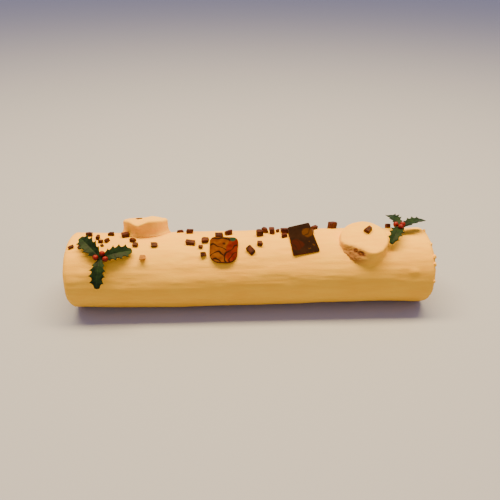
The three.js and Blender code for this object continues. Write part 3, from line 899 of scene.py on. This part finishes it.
def blank_material(name):
    """A material with its tree, its Principled shader and its Object coordinates."""
    material = bpy.data.materials.new(name)
    material.use_nodes = True
    tree = material.node_tree
    shader = tree.nodes["Principled BSDF"]
    place = add(tree, "TexCoord").outputs["Object"]
    return material, tree, shader, place


def placed_group(tree, group, inputs):
    node = add(tree, "Group", node_tree=group)
    for name, value in inputs.items():
        if isinstance(value, bpy.types.NodeSocket):
            tree.links.new(value, node.inputs[name])
        else:
            node.inputs[name].default_value = (*value, 1)
    return node


def bumped(tree, shader, height, strength, depth):
    """Feeds a height into the shader's normal; depth is in millimetres."""
    bump = add(tree, "Bump", {"Height": height, "Strength": strength, "Distance": depth * MM})
    tree.links.new(bump.outputs["Normal"], shader.inputs["Normal"])


def cream_material(group, torn):
    name = "cream_torn_to_sponge" if torn else "cream"
    material, tree, shader, place = blank_material(name)
    cream = placed_group(tree, group, {"Vector": place})
    colour, height = cream.outputs["Color"], cream.outputs["Height"]
    roughness = cream.outputs["Roughness"]
    if torn:
        share = add(tree, "Attribute", attribute_name="torn").outputs["Fac"]
        holes = add(tree, "TexNoise", {"Vector": place, "Scale": 420, "Detail": 4, "Roughness": 0.7})
        patch = add(tree, "TexNoise", {"Vector": place, "Scale": 170, "Detail": 3})
        ragged = add(tree, "Math", {0: share, 1: holes.outputs[0]}).outputs[0]
        bare = add(tree, "MapRange", {
            "Value": ragged, "From Min": 1.22, "From Max": 1.3,
        }).outputs[0]
        both = add(tree, "Math", {0: holes.outputs[0], 1: patch.outputs[0]}, operation="ADD")
        sponge = ramp(tree, scaled(tree, both.outputs[0], 0.5), [
            (0.4, SPONGE_DARK), (0.5, SPONGE), (0.6, SPONGE_LIGHT),
        ])
        # Painted shade: the stain colour darkens the cream over the mask, most on the wide slumped
        # rim that lies in shadow.
        thin = add(tree, "MapRange", {"Value": share, "To Max": 1.5}).outputs[0]
        colour = mixed(tree, bare, mixed(tree, thin, colour, SPONGE_STAIN_AND_PAINTED_SHADE), sponge)
        roughness = add(tree, "Mix", {0: bare, 2: roughness, 3: 0.85}).outputs[0]
        pits = add(tree, "Math", {0: bare, 1: holes.outputs[0]}, operation="MULTIPLY")
        height = add(tree, "Math", {0: scaled(tree, pits.outputs[0], 9), 1: height}).outputs[0]
    tree.links.new(colour, shader.inputs["Base Color"])
    tree.links.new(roughness, shader.inputs["Roughness"])
    shader.inputs["Specular IOR Level"].default_value = SHINE["cream"]
    shader.inputs["Subsurface Weight"].default_value = 0.05
    shader.inputs["Subsurface Radius"].default_value = (1, 0.75, 0.45)
    shader.inputs["Subsurface Scale"].default_value = 2.5 * MM
    bumped(tree, shader, height, 0.4, 0.25)
    return material


def chocolate_material(name, group, dark, light, bloom):
    material, tree, shader, place = blank_material(name)
    chocolate = placed_group(
        tree, group, {"Vector": place, "Dark": dark, "Light": light, "Bloom": bloom},
    )
    tree.links.new(chocolate.outputs["Color"], shader.inputs["Base Color"])
    tree.links.new(chocolate.outputs["Roughness"], shader.inputs["Roughness"])
    shader.inputs["Specular IOR Level"].default_value = SHINE["chocolate"]
    bumped(tree, shader, chocolate.outputs["Height"], 0.4, 0.08)
    return material


def flow(tree, face, scale, seed):
    """Smooth noise over a printed face, from 0 to 1."""
    node = add(
        tree, "TexNoise", noise_dimensions="4D",
        inputs={"Vector": face, "W": seed, "Scale": scale, "Detail": 1},
    )
    return node.outputs[0]


def ripples(tree, face, middle, wander, seed):
    """Distance from a place on a printed face, made to wander: its level lines are bent arcs."""
    far = add(tree, "VectorMath", {0: face, 1: (*middle, 0)}, operation="DISTANCE")
    bent = scaled(tree, flow(tree, face, 2.2, seed), wander, -wander / 2)
    return add(tree, "Math", {0: far.outputs["Value"], 1: bent}).outputs[0]


def inside(tree, value, edge, colour, ground):
    """A pool of colour on a ground, where a value is below an edge."""
    ends = {"From Min": edge, "From Max": edge - PRINT_EDGE}
    cover = add(tree, "MapRange", {"Value": value, **ends})
    return mixed(tree, cover.outputs[0], ground, colour)


def arcs(tree, value, spacing, width, colour, ground):
    """Lines of a colour along the level lines of a value."""
    saw = add(tree, "Math", {0: value, 1: spacing / 2}, operation="PINGPONG").outputs[0]
    return inside(tree, saw, width / 2, colour, ground)


def print_material(name, paint):
    """The printed face of a plaque: paint turns its tree and its UV map into a colour."""
    material, tree, shader, place = blank_material(name)
    face = add(tree, "UVMap", uv_map="print").outputs[0]
    fine = add(tree, "TexNoise", {"Vector": place, "Scale": 700, "Detail": 2})
    cloudy = add(tree, "TexNoise", {"Vector": place, "Scale": 150, "Detail": 3})
    shade = add(tree, "MapRange", {
        "Value": cloudy.outputs[0], "From Min": 0.35, "From Max": 0.7, "To Max": 0.35,
    })
    colour = mixed(tree, shade.outputs[0], paint(tree, face), UMBER)
    tree.links.new(colour, shader.inputs["Base Color"])
    tree.links.new(scaled(tree, fine.outputs[0], 0.2, 0.42), shader.inputs["Roughness"])
    shader.inputs["Specular IOR Level"].default_value = SHINE["print"]
    bumped(tree, shader, cloudy.outputs[0], 0.3, 0.2)
    return material


def marbled_print(tree, face):
    """Amber on one side and red on the other, with umber arcs and a little green."""
    amber = ramp(tree, flow(tree, face, 5, 4), [(0.35, AMBER), (0.65, GOLD)])
    amber = arcs(tree, ripples(tree, face, (0.15, -0.1), 0.8, 9), 0.26, 0.09, UMBER, amber)
    red = ramp(tree, flow(tree, face, 5, 12), [(0.4, FLAME), (0.6, EMBER)])
    red = arcs(tree, ripples(tree, face, (1.1, 0.1), 0.6, 15), 0.3, 0.08, UMBER, red)
    colour = inside(tree, ripples(tree, face, (1.3, 0.5), 0.5, 21), 0.78, red, amber)
    return inside(tree, ripples(tree, face, (0.8, 0.93), 0.2, 27), 0.13, MOSS, colour)


def dark_print(tree, face):
    """Near-black chocolate with a streaked pool of honey, one of red and a few flecks."""
    colour = ramp(tree, flow(tree, face, 4, 31), [(0.4, UMBER), (0.65, BROWN)])
    honey = arcs(tree, ripples(tree, face, (0.4, 1.2), 0.5, 40), 0.2, 0.05, UMBER, HONEY)
    colour = inside(tree, ripples(tree, face, (0.68, 0.74), 0.4, 36), 0.17, honey, colour)
    red = arcs(tree, ripples(tree, face, (-0.3, 0.1), 0.5, 52), 0.17, 0.05, UMBER, GARNET)
    colour = inside(tree, ripples(tree, face, (0.3, 0.34), 0.7, 45), 0.15, red, colour)
    flecks = scaled(tree, flow(tree, face, 11, 57), -1)
    near = inside(tree, ripples(tree, face, (0.72, 0.3), 0.3, 61), 0.22, HONEY, colour)
    return inside(tree, flecks, -0.62, near, colour)


def leaf_material():
    material, tree, shader, place = blank_material("leaf_green")
    vein = add(tree, "Attribute", attribute_name="vein").outputs["Fac"]
    patch = add(tree, "TexNoise", {"Vector": place, "Scale": 160, "Detail": 3})
    blade = ramp(tree, patch.outputs[0], [(0.38, LEAF_DARK), (0.62, LEAF_GREEN)])
    colour = mixed(tree, scaled(tree, vein, 0.5), blade, LEAF_VEIN)
    tree.links.new(colour, shader.inputs["Base Color"])
    tree.links.new(scaled(tree, patch.outputs[0], 0.3, 0.32), shader.inputs["Roughness"])
    shader.inputs["Specular IOR Level"].default_value = SHINE["leaf"]
    fine = add(tree, "TexNoise", {"Vector": place, "Scale": 900, "Detail": 2})
    bumped(tree, shader, fine.outputs[0], 0.25, 0.1)
    return material


def berry_material():
    material, tree, shader, place = blank_material("berry_red")
    tip = add(tree, "Attribute", attribute_name="tip").outputs["Fac"]
    patch = add(tree, "TexNoise", {"Vector": place, "Scale": 260, "Detail": 2})
    skin = ramp(tree, patch.outputs[0], [(0.35, BERRY_DEEP), (0.65, BERRY_RED)])
    colour = mixed(tree, tip, skin, BERRY_TIP)
    tree.links.new(colour, shader.inputs["Base Color"])
    tree.links.new(scaled(tree, patch.outputs[0], 0.2, 0.25), shader.inputs["Roughness"])
    shader.inputs["Specular IOR Level"].default_value = SHINE["berry"]
    return material


# ---------------------------------------------------------------- the cake
def make_cake():
    cream_group = smoothed_cream_group()
    bloom_group = chocolate_group()
    cream = cream_material(cream_group, torn=False)
    torn_cream = cream_material(cream_group, torn=True)
    dark = chocolate_material("chocolate_dark", bloom_group, CHUNK_DARK, CHUNK_LIGHT, CHUNK_BLOOM)
    tan = chocolate_material("chocolate_tan", bloom_group, TAN_DARK, TAN_LIGHT, TAN_BLOOM)
    leaf, berry = leaf_material(), berry_material()

    piece_of("log_cream", log_skin(), [cream], ["log"])
    piece_of("rim_crumbs", crumb_lumps(), [cream])
    for name, stump in STUMPS.items():
        # The right-hand stump's coat carries the tears and the painted shade on its rim.
        coat = torn_cream if stump["torn"] else cream
        piece_of(name + "_cream", stump_skin(stump), [coat], [name])
    dark_chunks, tan_chunks = all_chunks()
    piece_of("chunks_dark", dark_chunks, [dark])
    piece_of("chunks_tan", tan_chunks, [tan])

    prints = {
        "plaque_left": print_material("print_marbled", marbled_print),
        "plaque_right": print_material("print_dark", dark_print),
    }
    for name, plaque in PLAQUES.items():
        piece_of(name + "_plate", plaque_plate(plaque), [prints[name], dark], [name])

    for name, sprig in SPRIGS.items():
        piece_of(name + "_leaves", sprig_leaves(sprig), [leaf], [name])
        for i in range(1, BERRIES + 1):
            node = f"{name}_berry_{i}"
            middle = (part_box(node)[0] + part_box(node)[1]) / 2 / MM
            way = middle - sprig_place(sprig).translation
            piece_of(node + "_ball", berry_ball(node, way), [berry], [node])


# ---------------------------------------------------------------- floor, light and camera
def make_floor():
    bm = bmesh.new()
    bmesh.ops.create_grid(bm, x_segments=1, y_segments=1, size=FLOOR_HALF)
    mesh = bpy.data.meshes.new("floor")
    bm.to_mesh(mesh)
    bm.free()
    ground = bpy.data.objects.new("floor", mesh)
    bpy.context.scene.collection.objects.link(ground)
    material, _, shader, _ = blank_material("pale_floor")
    shader.inputs["Base Color"].default_value = (*FLOOR, 1)
    shader.inputs["Roughness"].default_value = 0.7
    mesh.materials.append(material)


def make_lamp(name, at, watts, width, depth):
    """A soft rectangular lamp that faces the cake."""
    light = bpy.data.lights.new(name, "AREA")
    light.shape = "RECTANGLE"
    light.size, light.size_y = width, depth
    light.energy = watts
    light.color = WARM_LIGHT
    lamp = bpy.data.objects.new(name, light)
    lamp.location = at
    lamp.rotation_euler = (-Vector(at)).to_track_quat("-Z", "Y").to_euler()
    bpy.context.scene.collection.objects.link(lamp)


def make_light():
    make_lamp("key", **KEY_LAMP)
    make_lamp("fill", **FILL_LAMP)
    world = bpy.data.worlds.new("studio")
    world.use_nodes = True
    sky = world.node_tree.nodes["Background"]
    sky.inputs["Color"].default_value = (*SKY, 1)
    sky.inputs["Strength"].default_value = SKY_STRENGTH
    bpy.context.scene.world = world


def make_camera():
    camera = bpy.data.objects.new("camera", bpy.data.cameras.new("camera"))
    camera.data.sensor_width = 36
    camera.data.lens = CAMERA["lens"]
    camera.data.clip_start = 0.01
    place = Matrix.Translation(Vector(CAMERA["at"]) * MM)
    place @= Matrix.Rotation(-radians(CAMERA["turned"]), 4, "Z")
    place @= Matrix.Rotation(radians(90 - CAMERA["down"]), 4, "X")
    camera.matrix_world = place @ Matrix.Rotation(radians(CAMERA["roll"]), 4, "Z")
    bpy.context.scene.collection.objects.link(camera)
    bpy.context.scene.camera = camera


make_cake()
make_floor()
make_light()
make_camera()
